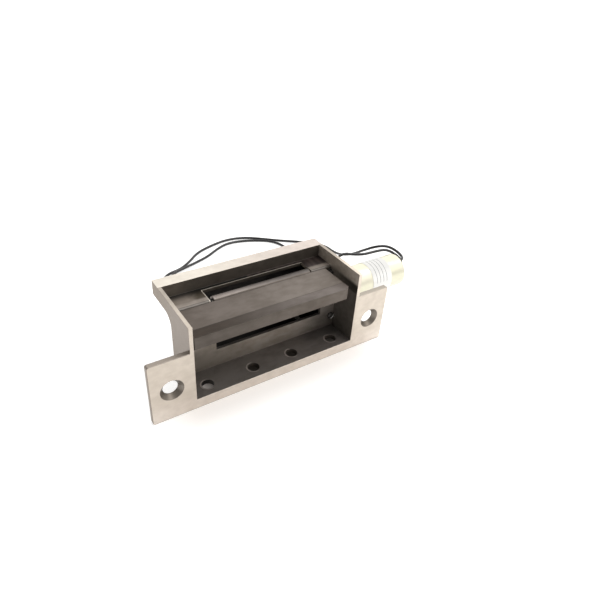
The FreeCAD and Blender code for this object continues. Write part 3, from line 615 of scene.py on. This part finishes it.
lower_route = [
    (97.4, 30.8, 2.1), (101.4, 30.85, 2.0), (104.5, 33.5, 1.8), (105.2, 37.6, 2.6),
    (102.9, 41.2, 4.6), (98.0, 42.4, 6.8), (89.0, 41.4, 8.2), (82.0, 42.2, 7.8), (76.4, 45.0, 7.7),
    (71.2, 47.8, 8.4), (66.6, 48.2, 6.0), (64.4, 47.0, 1.8), (65.4, 45.4, -3.8), (63.6, 48.6, -9.8),
    (60.4, 55.6, -13.6), (58.8, 65.0, REST), (61.4, 78.6, REST), (67.4, 92.6, REST), (69.0, 106.2, REST),
    (64.9, 116.2, REST), (56.4, 121.6, REST), (46.6, 125.6, REST), (36.4, 126.8, REST), (27.4, 123.0, REST),
    (18.0, 117.0, REST), (8.2, 113.4, REST), (-1.4, 108.8, REST + LIFT), (-9.6, 106.2, REST + LIFT),
    (-14.6, 100.6, REST), (-15.2, 92.4, REST), (-10.8, 83.0, REST), (-2.2, 75.4, REST), (9.0, 71.0, REST),
    (21.0, 70.4, REST), (32.0, 73.6, REST)]


def smooth_curve(name, route):
    shape = bpy.data.curves.new(name, "CURVE")
    shape.dimensions = "3D"
    line = shape.splines.new("NURBS")
    line.points.add(len(route) - 1)
    for point, (x, y, z) in zip(line.points, route):
        point.co = (x * MM, y * MM, z * MM, 1.0)
    line.order_u = 3
    line.use_endpoint_u = True
    line.resolution_u = 12
    return shape


def curve_length(route):
    item = add_object("measure", smooth_curve("measure", route))
    bpy.context.view_layer.update()
    mesh = bpy.data.meshes.new_from_object(item.evaluated_get(bpy.context.evaluated_depsgraph_get()))
    spots = [vertex.co.copy() for vertex in mesh.vertices]
    bpy.data.objects.remove(item)
    bpy.data.meshes.remove(mesh)
    return sum((after - before).length for before, after in zip(spots, spots[1:]))


for name, route in (("upper_lead", upper_route), ("lower_lead", lower_route)):
    length = curve_length(route)
    shape = smooth_curve(name + "_wire", route)
    shape.bevel_depth = LEAD_RADIUS * MM
    shape.bevel_resolution = 5
    shape.use_fill_caps = True
    wire = add_object(name + "_wire", shape, paint["lead_black"])
    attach(wire, "frame")
    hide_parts(name)

# Floor: white, with a painted shadow under the pocket that has painted light fading in from the left end, and a
# faint painted shadow in front of the part
FLOOR_REACH = 25.0
UNDER_LOW = (-43.5, 0.2, -1000.0)
UNDER_HIGH = (43.5, 17.6, 1000.0)


def floor_material():
    made = Material("white_floor")
    x, y, _ = made.axes()
    under = made.box(UNDER_LOW, UNDER_HIGH)
    rightward = made.rise(x, -36.5, -24.5)
    under_colour = made.mix(rightward, rgb(0.7, 0.66, 0.63), rgb(0.08, 0.075, 0.07))
    under_glow = made.mix(rightward, rgb(0.125, 0.115, 0.108), rgb(0.009, 0.0075, 0.006))
    middle = made.fall(made.size(x), 40, 72)
    in_front = made.product(made.rise(y, -30, -1), made.before(y, 0))
    glow = made.mix(made.product(in_front, middle), rgb(0.55, 0.55, 0.545), rgb(0.20, 0.165, 0.135))
    made.set(Base_Color=made.mix(under, grey(0.7), under_colour), Roughness=0.7,
             Emission_Color=made.mix(under, glow, under_glow), Emission_Strength=1.0)
    return made.material


corners = [(-FLOOR_REACH, -FLOOR_REACH), (FLOOR_REACH, -FLOOR_REACH),
           (FLOOR_REACH, FLOOR_REACH), (-FLOOR_REACH, FLOOR_REACH)]
floor = add_mesh("floor", [(x, y, PLATE_BOTTOM * MM) for x, y in corners], [(0, 1, 2, 3)], floor_material())

# Light: a bright studio, brightest at the back right and dim on the left, with a window in front
world = bpy.data.worlds.new("bright_room")
scene.world = world
world.use_nodes = True
room = Tree(world.node_tree)
heading = room.add("ShaderNodeTexCoord").outputs["Generated"]


# From first, away from the direction, to last, toward it
def toward(direction, low, high, first, last):
    product = room.add("ShaderNodeVectorMath", operation="DOT_PRODUCT")
    room.link(heading, product.inputs[0])
    product.inputs[1].default_value = Vector(direction).normalized()
    return room.smooth(product.outputs["Value"], low, high, first, last)


sky = toward((0.48, 0.67, 0.56), 0.0, 0.9, 0.6, 1.5)
left_shade = toward((-1.0, 0.15, 0.0), 0.1, 0.9, 1.0, 0.45)
window = toward((0.48, -0.67, 0.56), 0.90, 0.985, 0.0, 1.3)
background = room.tree.nodes["Background"]
background.inputs["Color"].default_value = rgb(1.0, 0.99, 0.975)
room.link(room.plus(room.product(sky, left_shade), window), background.inputs["Strength"])

LAMP_SPOT = Vector((0.35, -0.15, 0.85))
LAMP_TARGET = Vector((0.03, 0.02, 0.0))
light = bpy.data.lights.new("overhead", "AREA")
light.shape = "SQUARE"
light.size = 0.5
light.energy = 4.0
lamp = add_object("overhead", light)
lamp.location = LAMP_SPOT
lamp.rotation_euler = (LAMP_TARGET - LAMP_SPOT).to_track_quat("-Z", "Y").to_euler()

# Camera fitted to the photograph
CAMERA_SPOT = Vector((-0.10401, -0.1574, 0.15773))
CAMERA_RIGHT = Vector((0.83479, -0.54725, 0.06029))
CAMERA_UP = Vector((0.26852, 0.50029, 0.82317))
CAMERA_BACK = Vector((-0.48064, -0.67098, 0.56459))
camera_data = bpy.data.cameras.new("camera")
camera_data.sensor_width = 36.0
camera_data.lens = 31.99
camera_data.clip_start = 0.01
camera = add_object("camera", camera_data)
turn = Matrix((CAMERA_RIGHT, CAMERA_UP, CAMERA_BACK)).transposed().to_4x4()
camera.matrix_world = Matrix.Translation(CAMERA_SPOT) @ turn
scene.camera = camera
scene.view_settings.view_transform = "Standard"
scene.view_settings.look = "None"
